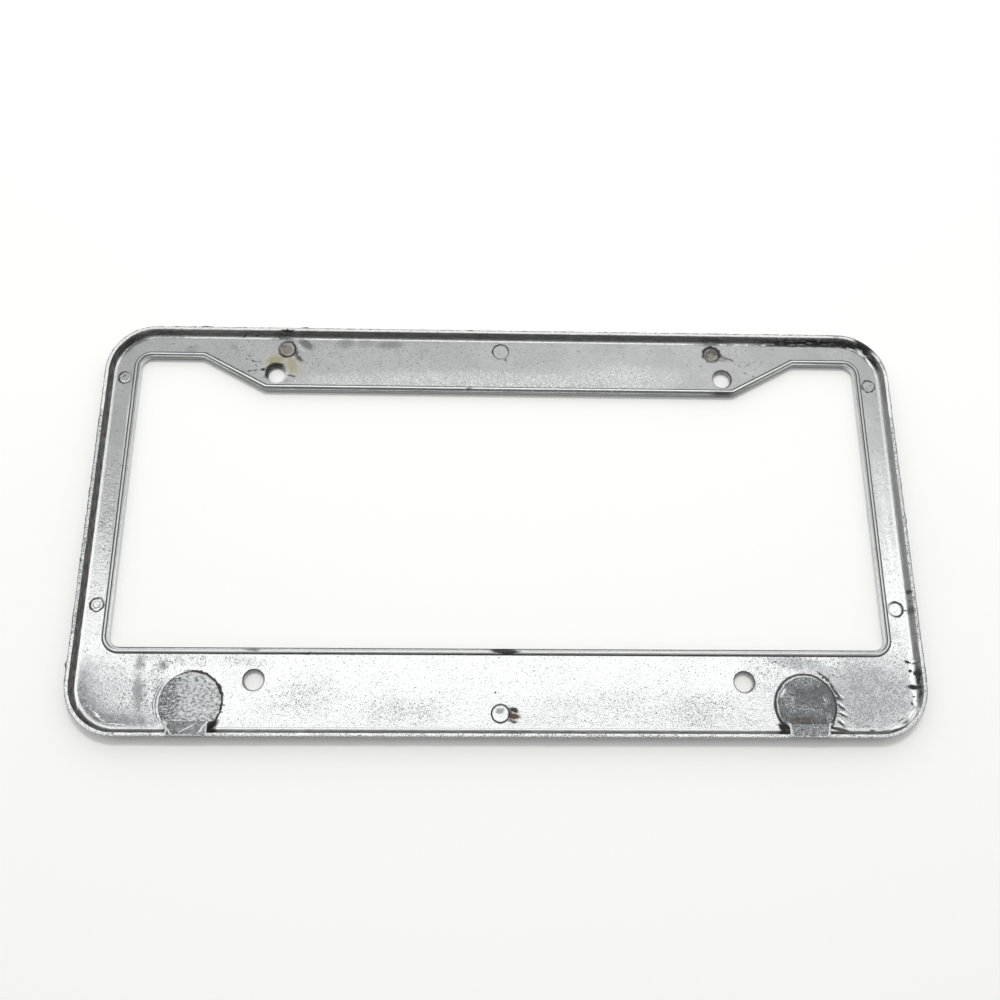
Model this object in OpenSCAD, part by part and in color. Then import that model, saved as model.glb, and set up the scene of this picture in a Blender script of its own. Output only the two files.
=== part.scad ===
// Number plate frame, cast in one piece in zinc alloy and chromed.
// It lies on its plain front face with its rear side up, as it comes from the tool.
// X runs along the width, Y towards the top edge, Z from the front face to the rear.

/* [Frame] */
// Width over the rim
frame_w = 310; // [304:1:330]
// Height over the rim, from the bottom edge to the top edge
frame_h = 159.6; // [156:0.2:176]
// Radius of the four outer corners
corner_r = 19; // [12:0.5:26]
// Thickness of the flat panel
panel_t = 2.7; // [2.2:0.1:4]
// Rounding of the front face along its outer edge
front_edge_r = 1.6; // [0.4:0.1:2]

/* [Rim] */
// Height of the rim above the panel's rear surface
rim_h = 3; // [1.8:0.1:5]
// Width of the rim's flat top
rim_top_w = 1.4; // [1:0.1:2.4]
// How far the rim's inner wall leans in from its top to its foot
rim_lean = 1.3; // [0.4:0.1:2]
// Radius of the fillet at the foot of the rim's inner wall
rim_fillet_r = 1.8; // [0.6:0.1:2.4]
// Rounding of the rim's two top edges
rim_edge_r = 0.3; // [0.1:0.05:0.4]

/* [Window] */
// Width of each side bar, from the frame's edge to the window
side_bar_w = 12.7; // [11.6:0.1:18]
// Height from the window's lower edge down to the lower bolt holes' centres
lower_land = 11.8; // [8:0.1:16]
// Height from the upper bolt holes' centres down to the window's upper edge
upper_land = 7.1; // [6.8:0.1:10]
// How far the straight upper edge runs past the upper bolt holes' centres
straight_past = 4.1; // [2:0.1:10]
// Length of each sloped edge along X
slope_run = 25; // [16:1:32]
// Height of each sloped edge along Y, up into the side notch
slope_rise = 13.5; // [10:0.1:15]
// Radius of the window's four square corners
window_r = 4.2; // [2:0.1:8]
// Rounding of the front face round the window
window_front_r = 1; // [0.3:0.1:1.8]
// Rounding of the rear edge round the window
window_rear_r = 0.35; // [0.1:0.05:0.45]

/* [Bead] */
// Width of the flat ledge between the window and the bead
ledge_w = 0.75; // [0.5:0.05:1.5]
// Width of the bead at its foot
bead_w = 1.65; // [1:0.05:2.5]
// Height of the bead above the panel's rear surface
bead_h = 0.75; // [0.3:0.05:1.1]

/* [Bolt holes] */
// Spacing of the bolt holes along X
bolt_dx = 177.8; // [170:0.1:185]
// Spacing of the bolt holes along Y
bolt_dy = 120.65; // [116:0.05:124]
// How far the middle of the four holes lies above the middle of the frame
bolt_rise = 0.7; // [0:0.1:1.5]
// Diameter of each bolt hole
bolt_d = 7; // [5:0.1:7.6]
// Width of the chamfer at each hole's rear mouth
mouth_chamfer = 0.7; // [0.3:0.1:1]

/* [Gates] */
// Spacing of the two round gate pads
gate_dx = 221.2; // [205:1:250]
// Diameter of each gate pad
gate_d = 22.5; // [16:0.5:26]
// Gap between each gate pad and the frame's bottom edge
gate_gap = 0.6; // [0.4:0.1:2]
// Height of each gate pad's sheared face above the panel
gate_h = 0.6; // [0.3:0.1:1.2]
// Bevel round each gate pad's sheared face
gate_bevel = 0.25; // [0.1:0.05:0.3]
// Length of the gate tab, from the bottom edge up to its inner side
tab_l = 5.3; // [4.6:0.1:9]
// Width of the gate tab where it crosses the rim
tab_w = 14.6; // [8:0.2:16]

/* [Ejector marks] */
// Diameter of the marks on the top and bottom bars, over their burr
bar_mark_d = 6.5; // [4:0.1:7.5]
// Diameter of the marks on the side bars, over their burr
side_mark_d = 5.3; // [3.5:0.1:5.6]
// Spacing of the outer two marks on the top bar
bar_mark_dx = 170.3; // [140:0.1:180]
// Distance of the top bar's marks from the top edge
top_mark_in = 8; // [7.8:0.1:10]
// Distance of the bottom bar's mark from the bottom edge
bottom_mark_in = 8.6; // [7.8:0.1:12]
// Height of the side bars' upper marks above the frame's middle
side_mark_up = 58.6; // [45:0.1:60]
// Depth of the side bars' lower marks below the frame's middle
side_mark_down = 32.4; // [20:0.1:45]
// Distance of the side bars' marks from the window
side_mark_in = 5.6; // [5:0.1:6]
// Depth of each mark's face below the panel's rear surface
mark_depth = 0.2; // [0.1:0.05:0.5]
// Width of the burr round each mark
burr_w = 0.3; // [0.2:0.05:0.5]
// Height of the burr round each mark
burr_h = 0.12; // [0.05:0.01:0.3]

/* [Hidden] */
$fn = 96;

// A size rounded to a thousandth of a millimetre, so that neighbours meet exactly
function neat(v) = round(v * 1000) / 1000;

// Places worked out from the sizes above
rim_z = panel_t + rim_h;
half_w = frame_w / 2;
half_h = frame_h / 2;
window_x = half_w - side_bar_w;
window_low = bolt_rise - bolt_dy / 2 + lower_land;
window_high = neat(bolt_rise + bolt_dy / 2 - upper_land);
notch_y = window_high + slope_rise;
straight_x = neat(bolt_dx / 2 + straight_past);
slope_x = straight_x + slope_run;
gate_y = gate_gap + gate_d / 2 - half_h;

// Width over the swept rim section, out to the foot of its fillet, which is tangent to
// the leaning wall and to the panel, and width over the swept bead section
lean_a = atan(rim_lean / rim_h);
rim_zone = neat(rim_top_w + rim_lean + rim_fillet_r * tan((90 - lean_a) / 2));
bead_zone = ledge_w + bead_w;

// Straight steps in a rounding or a hidden corner, and how far a cutter runs past a face
arc_n = 4;
past = 1;

// Points of a circular arc round c from angle a0 to angle a1
function arc(c, r, a0, a1, n = arc_n) =
  [for (i = [0:n]) let (a = a0 + (a1 - a0) * i / n) [neat(c[0] + r * cos(a)), neat(c[1] + r * sin(a))]];

// Points of the rim section, from the frame's outer face inwards: rounded front edge,
// upright outer face, flat top, leaning inner wall and its fillet
rim_points = concat(
  arc([front_edge_r, front_edge_r], front_edge_r, 270, 180),
  arc([rim_edge_r, rim_z - rim_edge_r], rim_edge_r, 180, 90, 2),
  arc([rim_top_w - rim_edge_r, rim_z - rim_edge_r], rim_edge_r, 90, lean_a, 2),
  arc([rim_zone, panel_t + rim_fillet_r], rim_fillet_r, 180 + lean_a, 270),
  [[rim_zone, 0]]
);

// Points of the bead section, from the window's face outwards: rounded front edge,
// rounded rear edge, flat ledge, and the bead with its crest nearer to the window
function on_bead(share, rise) = [neat(ledge_w + share * bead_w), neat(panel_t + rise * bead_h)];
bead_points = concat(
  [[bead_zone, 0]],
  arc([window_front_r, window_front_r], window_front_r, 270, 180),
  arc([window_rear_r, panel_t - window_rear_r], window_rear_r, 180, 90, 2),
  [on_bead(0, 0), on_bead(0.25, 0.8), on_bead(0.36, 1), on_bead(0.52, 1), on_bead(0.68, 0.75), on_bead(1, 0)]
);

// Sweeps a section straight on from a start point. In the section, x runs to the left
// of the heading and y runs up along Z.
module run(start, heading, length) {
  translate([start[0], start[1], 0])
    rotate([90, 0, 90 + heading])
      linear_extrude(length) children();
}

// Sweeps a section through the four quarter turns of a rounded rectangle, whose arc
// centres lie at -x and x, and at low and high. In the section, x is the radius.
module quarter_turns(x, low, high) {
  centres = [[x, high], [-x, high], [-x, low], [x, low]];
  for (i = [0:3])
    translate([centres[i][0], centres[i][1], 0])
      rotate([0, 0, 90 * i])
        rotate_extrude(angle = 90) children();
}

// Rim all round the frame, with the front face's rounded outer edge
module rim() {
  x = half_w - corner_r;
  y = half_h - corner_r;
  run([-x, -half_h], 0, 2 * x) polygon(rim_points);
  run([half_w, -y], 90, 2 * y) polygon(rim_points);
  run([x, half_h], 180, 2 * x) polygon(rim_points);
  run([-half_w, y], 270, 2 * y) polygon(rim_points);
  quarter_turns(x, -y, y)
    translate([corner_r, 0]) mirror([1, 0]) polygon(rim_points);
}

// Bead and ledge all round the window, with the rounded edges of both faces
module bead() {
  x = window_x - window_r;
  side_l = notch_y - window_low - 2 * window_r;
  run([-window_x, window_low + window_r], 90, side_l) polygon(bead_points);
  run([-x, notch_y], 0, x - slope_x) polygon(bead_points);
  run([-straight_x, window_high], 0, 2 * straight_x) polygon(bead_points);
  run([slope_x, notch_y], 0, x - slope_x) polygon(bead_points);
  run([window_x, notch_y - window_r], 270, side_l) polygon(bead_points);
  run([x, window_low], 180, 2 * x) polygon(bead_points);
  quarter_turns(x, window_low + window_r, notch_y - window_r)
    translate([window_r, 0]) polygon(bead_points);
  slope(-1);
  slope(1);
}

// Sloped stretch of the bead, whose section is cut square to X at both ends, where it
// meets the level stretches
module slope(side) {
  n = len(bead_points);
  ends = side < 0 ? [[-slope_x, notch_y], [-straight_x, window_high]]
    : [[straight_x, window_high], [slope_x, notch_y]];
  corners = [for (e = ends) for (p = bead_points) [e[0], e[1] + p[0], p[1]]];
  walls = [for (i = [0:n - 1]) let (j = (i + 1) % n) [i, j, n + j, n + i]];
  polyhedron(corners, concat(walls, [[for (i = [0:n - 1]) n - 1 - i], [for (i = [0:n - 1]) n + i]]));
}

// Flat panel, whose edges end inside the swept sections
module panel() {
  rim_d = (front_edge_r + rim_zone) / 2;
  bead_d = bead_zone / 2;
  linear_extrude(panel_t)
    difference() {
      polygon(rounded(half_w - corner_r, corner_r - half_h, half_h - corner_r, corner_r - rim_d));
      difference() {
        polygon(rounded(window_x - window_r, window_low + window_r, notch_y - window_r, window_r + bead_d));
        polygon([
          [-slope_x, notch_y + past + bead_d], [-slope_x, notch_y + bead_d],
          [-straight_x, window_high + bead_d], [straight_x, window_high + bead_d],
          [slope_x, notch_y + bead_d], [slope_x, notch_y + past + bead_d]
        ]);
      }
    }
}

// Outline of a rectangle with corners of radius r round the given arc centres
function rounded(x, low, high, r) = concat(
  arc([x, high], r, 0, 90),
  arc([-x, high], r, 90, 180),
  arc([-x, low], r, 180, 270),
  arc([x, low], r, 270, 360)
);

// The four bolt holes, each with a chamfered rear mouth
module bolt_holes() {
  for (x = [-1, 1], y = [-1, 1])
    translate([x * bolt_dx / 2, bolt_rise + y * bolt_dy / 2, 0]) {
      translate([0, 0, -past]) cylinder(d = bolt_d, h = panel_t + 2 * past);
      translate([0, 0, panel_t - mouth_chamfer])
        cylinder(r1 = bolt_d / 2, r2 = bolt_d / 2 + mouth_chamfer + past, h = mouth_chamfer + past);
    }
}

// Places of the ejector marks and the diameter of each
bar_marks = [
  for (s = [-1, 0, 1]) [s * bar_mark_dx / 2, half_h - top_mark_in, bar_mark_d],
  [0, bottom_mark_in - half_h, bar_mark_d]
];
side_marks = [
  for (s = [-1, 1], y = [side_mark_up, -side_mark_down])
    [s * (window_x + side_mark_in), y, side_mark_d]
];

module mark_burrs() {
  for (m = concat(bar_marks, side_marks))
    translate([m[0], m[1], 0]) cylinder(d = m[2], h = panel_t + burr_h);
}

module mark_faces() {
  for (m = concat(bar_marks, side_marks))
    translate([m[0], m[1], panel_t - mark_depth])
      cylinder(d = m[2] - 2 * burr_w, h = mark_depth + past);
}

// A gate pad: the round sheared face, and the tab beside it that crosses the rim
module gate(side) {
  translate([side * gate_dx / 2, gate_y, 0]) {
    cylinder(d = gate_d, h = panel_t + gate_h - gate_bevel);
    translate([0, 0, panel_t + gate_h - gate_bevel])
      cylinder(d1 = gate_d, d2 = gate_d - 2 * gate_bevel, h = gate_bevel);
  }
  linear_extrude(rim_z)
    translate([side * gate_dx / 2, -half_h])
      gate_tab_plan();
}

module gate_tab_plan() {
  translate([-tab_w / 2, 0]) square([tab_w, tab_l]);
  intersection() {
    translate([0, gate_gap + gate_d / 2]) circle(d = gate_d);
    translate([-gate_d / 2, 0]) square([gate_d, tab_l]);
  }
}

module plate_frame() {
  color("silver")
    difference() {
      union() {
        panel();
        rim();
        bead();
        mark_burrs();
        gate(-1);
        gate(1);
      }
      bolt_holes();
      mark_faces();
    }
}

plate_frame();
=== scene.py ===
"""Rear side of a cast, chromed number plate frame, worn and stained, on a pale floor."""

import math

import bmesh
import bpy
from bpy.props import FloatProperty, FloatVectorProperty, PointerProperty
from mathutils import Matrix, Vector, noise


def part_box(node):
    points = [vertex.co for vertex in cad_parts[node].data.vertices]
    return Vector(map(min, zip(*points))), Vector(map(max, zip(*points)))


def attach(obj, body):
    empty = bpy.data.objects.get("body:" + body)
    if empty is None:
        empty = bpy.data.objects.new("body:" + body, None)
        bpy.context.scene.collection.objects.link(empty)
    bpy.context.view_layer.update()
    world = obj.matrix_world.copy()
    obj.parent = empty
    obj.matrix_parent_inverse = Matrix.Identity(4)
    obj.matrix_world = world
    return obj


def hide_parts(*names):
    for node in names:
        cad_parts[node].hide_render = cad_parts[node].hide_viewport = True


bl_info = {
    "name": "Plate Frame",
    "version": (1, 0, 0),
    "blender": (4, 5, 0),
    "location": "View3D > Sidebar > Plate Frame",
    "description": "Finishes a cast and chromed number plate frame and sets its stage",
    "category": "Object",
}

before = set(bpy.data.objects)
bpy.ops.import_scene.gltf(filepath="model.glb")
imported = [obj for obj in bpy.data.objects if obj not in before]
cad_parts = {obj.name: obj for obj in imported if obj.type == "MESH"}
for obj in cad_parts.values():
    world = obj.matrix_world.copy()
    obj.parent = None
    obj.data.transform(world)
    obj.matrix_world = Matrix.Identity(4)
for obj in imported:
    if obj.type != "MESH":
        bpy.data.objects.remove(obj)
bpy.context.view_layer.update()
_, cad_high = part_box("plate_frame")

MM = 0.001
NODE = "plate_frame"
BODY = "root"

# Material slots of the casting: the rear in three regions, each with its low and high Y
# in mm, so that each carries only its own stains
REGIONS = {"bottom_bar": (-90, -44), "side_bars": (-44, 44), "top_bar": (44, 90)}
SHEARED = len(REGIONS)
FRONT = SHEARED + 1

# How close to a height or a line a point has to lie to belong to it
CLOSE = 0.05 * MM


def length(title, words, size_mm):
    """A size in metres whose default is given in millimetres."""
    return FloatProperty(name=title, description=words, default=size_mm * MM, unit="LENGTH", precision=5)


def share(title, words, value):
    """A plain number from 0 to 1."""
    return FloatProperty(name=title, description=words, default=value, min=0, max=1, subtype="FACTOR")


def paint(title, words, value):
    """A colour, as linear red, green and blue."""
    return FloatVectorProperty(
        name=title, description=words, default=value, min=0, max=1, size=3, subtype="COLOR"
    )


def watts(title, words, value):
    """The power of a lamp in watts."""
    return FloatProperty(name=title, description=words, default=value, min=0, unit="POWER")


class FRAME_PG_sizes(bpy.types.PropertyGroup):
    """Sizes of the casting that its finish follows."""

    half_w: length("Half width", "Half of the width over the rim", cad_high.x / MM)
    half_h: length("Half height", "Half of the height over the rim", cad_high.y / MM)
    rim_z: length("Rim top", "Height of the rim's flat top", cad_high.z / MM)
    panel_z: length("Panel rear", "Height of the panel's rear surface", 2.7)
    corner_r: length("Corner radius", "Radius of the four outer corners", 19)
    rim_w: length("Rim width", "Width of the rim with its fillet", 3.88)
    top_w: length("Rim top width", "Width of the rim's flat top", 1.4)
    gate_x: length("Gate spacing", "Half of the spacing of the gate pads", 110.6)
    gate_y: length("Gate height", "Place of the gate pads along the height", -67.95)
    gate_r: length("Gate radius", "Radius of the gate pads", 11.25)
    gate_z: length("Gate face", "Height of the sheared face of the gate pads", 3.3)
    tab_l: length("Tab length", "Length of the tabs that cross the rim", 5.3)
    tab_w: length("Tab width", "Width of the tabs that cross the rim", 14.6)


class FRAME_PG_wear(bpy.types.PropertyGroup):
    """How rough the casting's trimmed and broken edges are."""

    flash: length("Flash", "Reach of the trimmed flash past the rim's outer edge", 0.34)
    edge: length("Edge wander", "How far the rim's top edges wander", 0.07)
    break_relief: length("Break relief", "Relief of the sheared gate faces", 0.16)
    break_grain: length("Break grain", "Size of the grains of the sheared faces", 1.3)
    slice_long: length("Long slice", "Spacing of the cuts along the top and bottom rim", 1)
    slice_side: length("Side slice", "Spacing of the cuts along the side rims", 0.7)
    slice_break: length("Break slice", "Spacing of the cuts on the sheared faces", 0.45)


class FRAME_PG_colours(bpy.types.PropertyGroup):
    """Colours of the metal and of what is on it."""

    plate: paint("Plating", "Thin plating on the rear", (0.74, 0.75, 0.75))
    bright: paint("Bright plating", "Polished plating on the front and the outer edge", (0.8, 0.81, 0.82))
    dull: paint("Dull plating", "Plating gone dull beside the gates", (0.34, 0.355, 0.36))
    zinc: paint("Sheared zinc", "Broken face of the casting", (0.155, 0.165, 0.17))
    glint: paint("Glint", "Bright grains of a broken face", (0.82, 0.84, 0.85))
    grime_and_shade: paint("Grime", "Dark dirt in corners and rings", (0.035, 0.033, 0.03))
    tar: paint("Tar", "Black tar on the rim", (0.012, 0.012, 0.014))
    brown: paint("Brown stain", "Dried stain round the upper left hole", (0.33, 0.29, 0.16))
    rust: paint("Rust brown", "Darker brown dirt", (0.1, 0.065, 0.035))
    film: paint("Film", "Smooth blue-grey film in the lower corners", (0.16, 0.168, 0.176))
    floor: paint("Floor", "Pale floor", (0.91, 0.912, 0.885))


class FRAME_PG_stage(bpy.types.PropertyGroup):
    """Lamps, room, floor and camera."""

    lamp: watts("Main lamp", "Power of the lamp above the frame", 2.5)
    fill: watts("Far lamp", "Power of the lamp beyond the frame", 0.3)
    wash: watts("Floor lamp", "Power of the lamp that only matt surfaces show", 4.1)
    zenith: share("Zenith", "Strength of the light from straight above", 0.28)
    horizon: share("Horizon", "Strength of the light from all round", 0.8)
    glow: share("Floor glow", "Light of the floor itself, as the camera and reflections see it", 0.02)
    lens: FloatProperty(
        name="Lens", description="Focal length on a 36 mm sensor", default=36.296, unit="CAMERA"
    )


# Outline of the window in mm: its side, bottom and top, the lower middle of its top edge,
# the slopes between the two, and its corners
WINDOW_SIDE = 142.3
WINDOW_LOW = -47.825
WINDOW_TOP = 67.425
WINDOW_MIDDLE = 53.925
SLOPE_START = 93
SLOPE_END = 118
WINDOW_R = 4.2

# Strips along the bead in section: from and to in mm outside the window's edge
EDGE = (-0.3, 0.4)
LEDGE = (0.3, 0.9)
FLANK = (0.88, 1.2)
CREST = (1.3, 1.9)
FOOT = (2.02, 2.56)
BEAD_END = 2.7

# Nicks in the inner side of the right rim: place along Y, half length and depth, in mm
NICKS = [
    (-26.3, 0.9, 0.35),
    (-32.3, 0.8, 0.35),
    (-51.8, 1.3, 0.6),
    (-55.8, 1, 0.5),
    (-60, 1.9, 0.7),
    (-67.8, 0.9, 0.4),
]

# Nubs of flash on the outer edge: place in X and Y, half length and reach, in mm
NUBS = [
    (-117, 79.8, 3, 0.35),
    (-78, 79.8, 1.6, 0.5),
    (-155, -54.8, 1.3, 0.6),
    (155, 1.9, 0.7, 0.3),
    (155, -2.8, 0.7, 0.3),
]


def outline_depth(sizes, x, y):
    """How far a point lies inside the frame's outline."""
    qx = abs(x) - sizes.half_w + sizes.corner_r
    qy = abs(y) - sizes.half_h + sizes.corner_r
    return sizes.corner_r - math.hypot(max(qx, 0), max(qy, 0)) - min(max(qx, qy), 0)


def outward(sizes, x, y):
    """Direction square to the outline, away from the frame's middle."""
    qx = abs(x) - sizes.half_w + sizes.corner_r
    qy = abs(y) - sizes.half_h + sizes.corner_r
    if qx > 0 and qy > 0:
        way = Vector((math.copysign(qx, x), math.copysign(qy, y), 0))
    elif qx > qy:
        way = Vector((x, 0, 0))
    else:
        way = Vector((0, y, 0))
    return way.normalized()


def slice_faces(bm, faces, axis, places):
    """Cuts the faces by planes square to one axis."""
    normal = Vector((0, 0, 0))
    normal[axis] = 1
    geom = [*{v for f in faces for v in f.verts}, *{e for f in faces for e in f.edges}, *faces]
    for place in places:
        cut = bmesh.ops.bisect_plane(
            bm, geom=geom, dist=1e-7, plane_co=normal * place, plane_no=normal
        )
        geom = cut["geom"]
    return [g for g in geom if isinstance(g, bmesh.types.BMFace)]


def steps(start, end, spacing):
    """Places from start to end at about the given spacing."""
    count = max(1, round((end - start) / spacing))
    return [start + (end - start) * i / count for i in range(count + 1)]


def in_tab(sizes, x, y):
    """Whether a point lies on one of the tabs that cross the bottom rim."""
    return y < sizes.tab_l - sizes.half_h and abs(abs(x) - sizes.gate_x) < sizes.tab_w / 2


def on_break(sizes, face):
    """Whether a face is part of a sheared gate face: the top of a pad or of a tab."""
    c = face.calc_center_median()
    if face.normal.z < 0.9:
        return False
    across = abs(abs(c.x) - sizes.gate_x)
    on_pad = abs(c.z - sizes.gate_z) < CLOSE and math.hypot(across, c.y - sizes.gate_y) < sizes.gate_r
    return on_pad or (abs(c.z - sizes.rim_z) < CLOSE and in_tab(sizes, c.x, c.y))


def on_pad_side(sizes, face):
    """Whether a face is part of the bevel or the low side of a gate pad."""
    c = face.calc_center_median()
    reach = math.hypot(abs(c.x) - sizes.gate_x, c.y - sizes.gate_y)
    return sizes.panel_z < c.z < sizes.gate_z and abs(reach - sizes.gate_r) < 0.4 * MM


def near_rim(sizes, face):
    """Whether a face belongs to the rim, and not to the panel or the front."""
    if max(v.co.z for v in face.verts) < 0.01 * MM:
        return False
    least = min(outline_depth(sizes, v.co.x, v.co.y) for v in face.verts)
    return least < sizes.rim_w - 0.1 * MM


def cut_up(bm, sizes, wear):
    """Gives the rim and the sheared faces enough points to be shaped."""
    run_x = sizes.half_w - sizes.corner_r
    run_y = sizes.half_h - sizes.corner_r
    rim = [f for f in bm.faces if near_rim(sizes, f)]
    rim = slice_faces(bm, rim, 0, steps(-run_x, run_x, wear.slice_long))
    slice_faces(bm, rim, 1, steps(-run_y, run_y, wear.slice_side))
    reach = sizes.gate_r
    half_tab = sizes.tab_w / 2
    for side in (-1, 1):
        x = side * sizes.gate_x
        slice_faces(bm, [f for f in bm.faces if near_rim(sizes, f)], 0, [x - half_tab, x + half_tab])
        broken = [f for f in bm.faces if on_break(sizes, f) and f.calc_center_median().x * side > 0]
        broken = slice_faces(bm, broken, 0, steps(x - reach, x + reach, wear.slice_break))
        slice_faces(bm, broken, 1, steps(-sizes.half_h, sizes.gate_y + reach, wear.slice_break))


def wander(co, scale, seed):
    """Smooth noise from -1 to 1 whose waves are about scale long."""
    return noise.noise(Vector((co.x / scale, co.y / scale, seed)))


def rag_rim(bm, sizes, wear):
    """Trimmed flash on the outer edge, and wandering top edges."""
    for v in bm.verts:
        depth = outline_depth(sizes, v.co.x, v.co.y)
        if v.co.z < sizes.rim_z - 0.6 * MM or depth > sizes.top_w + 0.1 * MM:
            continue
        way = outward(sizes, v.co.x, v.co.y)
        if depth < 0.4 * MM:
            tear = max(0, wander(v.co, 2.2 * MM, 3.1) + 0.5 * wander(v.co, 0.9 * MM, 8.7))
            push = wear.flash * tear + wear.edge * wander(v.co, 5 * MM, 1.3)
            for x, y, half, nub in NUBS:
                off = math.hypot(v.co.x - x * MM, v.co.y - y * MM) / (half * MM)
                push += nub * MM * max(0, 1 - off * off)
            v.co += way * push
            v.co.z += wear.edge * wander(v.co, 1.6 * MM, 5.5) - 0.3 * wear.flash * tear
        else:
            v.co += way * wear.edge * wander(v.co, 3 * MM, 2.2)


def nick_rim(bm, sizes):
    """Gouges across the inner side of the right rim."""
    for v in bm.verts:
        depth = outline_depth(sizes, v.co.x, v.co.y)
        if v.co.x < 0 or not sizes.top_w < depth < sizes.rim_w - CLOSE or v.co.z < sizes.panel_z:
            continue
        for y, half, deep in NICKS:
            off = abs(v.co.y - y * MM) / (half * MM)
            if off < 1.4:
                rough = 0.75 + 0.4 * wander(v.co, 0.6 * MM, y)
                v.co.x += deep * MM * max(0, 1.1 - off) * rough


def break_faces(bm, sizes, wear):
    """Coarse grain on the sheared gate faces, left flat so that each grain glints."""
    broken = [f for f in bm.faces if on_break(sizes, f)]
    inner = {v for f in broken for v in f.verts if all(on_break(sizes, g) for g in v.link_faces)}
    shift = {}
    for v in inner:
        grain = wander(v.co, wear.break_grain, 4.4) + 0.6 * wander(v.co, 0.4 * wear.break_grain, 7.9)
        shift[v] = wear.break_relief * grain
    for v, rise in shift.items():
        v.co.z += rise
    for f in broken:
        f.material_index = SHEARED
        f.smooth = False
    bmesh.ops.triangulate(bm, faces=broken)


def region_of(y):
    """Material slot of the rear at a place along Y."""
    return sum(y > low * MM for low, _ in REGIONS.values()) - 1


def casting_mesh(sizes, wear):
    """The frame's mesh with its flash, nicks and sheared faces."""
    bm = bmesh.new()
    bm.from_mesh(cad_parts[NODE].data)
    bmesh.ops.remove_doubles(bm, verts=bm.verts, dist=1e-6)
    bmesh.ops.dissolve_limit(bm, angle_limit=math.radians(0.1), verts=bm.verts, edges=bm.edges)
    slice_faces(bm, list(bm.faces), 1, [low * MM for low, _ in list(REGIONS.values())[1:]])
    for f in bm.faces:
        f.smooth = True
        middle = f.calc_center_median()
        outer = f.normal.z < 0.2 and outline_depth(sizes, middle.x, middle.y) < 0.5 * MM
        f.material_index = FRONT if f.normal.z < -0.2 or outer else region_of(middle.y)
        if on_pad_side(sizes, f):
            f.material_index = SHEARED
    cut_up(bm, sizes, wear)
    break_faces(bm, sizes, wear)
    rag_rim(bm, sizes, wear)
    nick_rim(bm, sizes)
    loose = [e for e in bm.edges if not e.is_manifold]
    if loose:
        raise RuntimeError(f"the casting has {len(loose)} open edges")
    mesh = bpy.data.meshes.new("worn_frame")
    bm.to_mesh(mesh)
    bm.free()
    return mesh


class Wiring:
    """Adds nodes to a tree and joins or sets their sockets."""

    def __init__(self, tree):
        self.tree = tree

    def node(self, kind, values=None, **settings):
        """A new node with its input values and its settings."""
        made = self.tree.nodes.new(kind)
        for name, value in settings.items():
            setattr(made, name, value)
        for name, value in (values or {}).items():
            self.feed(made.inputs[name], value)
        return made

    def feed(self, socket, value):
        """Joins an output to an input socket, or sets the input to a plain value."""
        if isinstance(value, bpy.types.NodeSocket):
            self.tree.links.new(value, socket)
        elif socket.type == "RGBA":
            socket.default_value = (*value[:3], 1)
        else:
            socket.default_value = value

    def math(self, operation, *values, clamp=False):
        """The result of one operation on numbers."""
        made = self.node("ShaderNodeMath", dict(enumerate(values)), operation=operation, use_clamp=clamp)
        return made.outputs[0]

    def vector(self, operation, *values):
        """The result of one operation on vectors."""
        made = self.node("ShaderNodeVectorMath", operation=operation)
        for i, value in enumerate(values):
            socket = made.inputs["Scale"] if operation == "SCALE" and i == 1 else made.inputs[i]
            self.feed(socket, value)
        return made.outputs["Value" if operation in ("LENGTH", "DOT_PRODUCT") else "Vector"]

    def product(self, *values):
        """All the values multiplied."""
        result = values[0]
        for value in values[1:]:
            result = self.math("MULTIPLY", result, value)
        return result

    def most(self, *values):
        """The largest of the values."""
        result = values[0]
        for value in values[1:]:
            result = self.math("MAXIMUM", result, value)
        return result

    def ramp(self, value, low, high, start=0.0, end=1.0):
        """A smooth step from start at low to end at high."""
        made = self.node(
            "ShaderNodeMapRange",
            {"Value": value, "From Min": low, "From Max": high, "To Min": start, "To Max": end},
            interpolation_type="SMOOTHSTEP",
        )
        return made.outputs["Result"]

    def noise(self, place, scale, detail=2.0, roughness=0.5, output="Fac"):
        """Noise with scale waves to a mm."""
        values = {"Vector": place, "Scale": scale, "Detail": detail, "Roughness": roughness}
        return self.node("ShaderNodeTexNoise", values).outputs[output]

    def mix(self, mask, under, over):
        """One colour over another where the mask is 1."""
        made = self.node("ShaderNodeMix", data_type="RGBA")
        self.feed(made.inputs[0], mask)
        self.feed(made.inputs[6], under)
        self.feed(made.inputs[7], over)
        return made.outputs[2]

    def blend(self, mask, under, over):
        """One number over another where the mask is 1."""
        made = self.node("ShaderNodeMix", data_type="FLOAT")
        self.feed(made.inputs[0], mask)
        self.feed(made.inputs[2], under)
        self.feed(made.inputs[3], over)
        return made.outputs[0]

    def group(self, tree, **values):
        """The outputs of a node group with its inputs set."""
        made = self.tree.nodes.new("ShaderNodeGroup")
        made.node_tree = tree
        for name, value in values.items():
            self.feed(made.inputs[name.replace("_", " ")], value)
        return made.outputs


def new_group(name, inputs, outputs):
    """An empty node group with the given sockets, its wiring, and its two end nodes."""
    tree = bpy.data.node_groups.new(name, "ShaderNodeTree")
    for title, kind in inputs:
        tree.interface.new_socket(title, in_out="INPUT", socket_type=kind)
    for title, kind in outputs:
        tree.interface.new_socket(title, in_out="OUTPUT", socket_type=kind)
    w = Wiring(tree)
    return tree, w, w.node("NodeGroupInput").outputs, w.node("NodeGroupOutput").inputs


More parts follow.
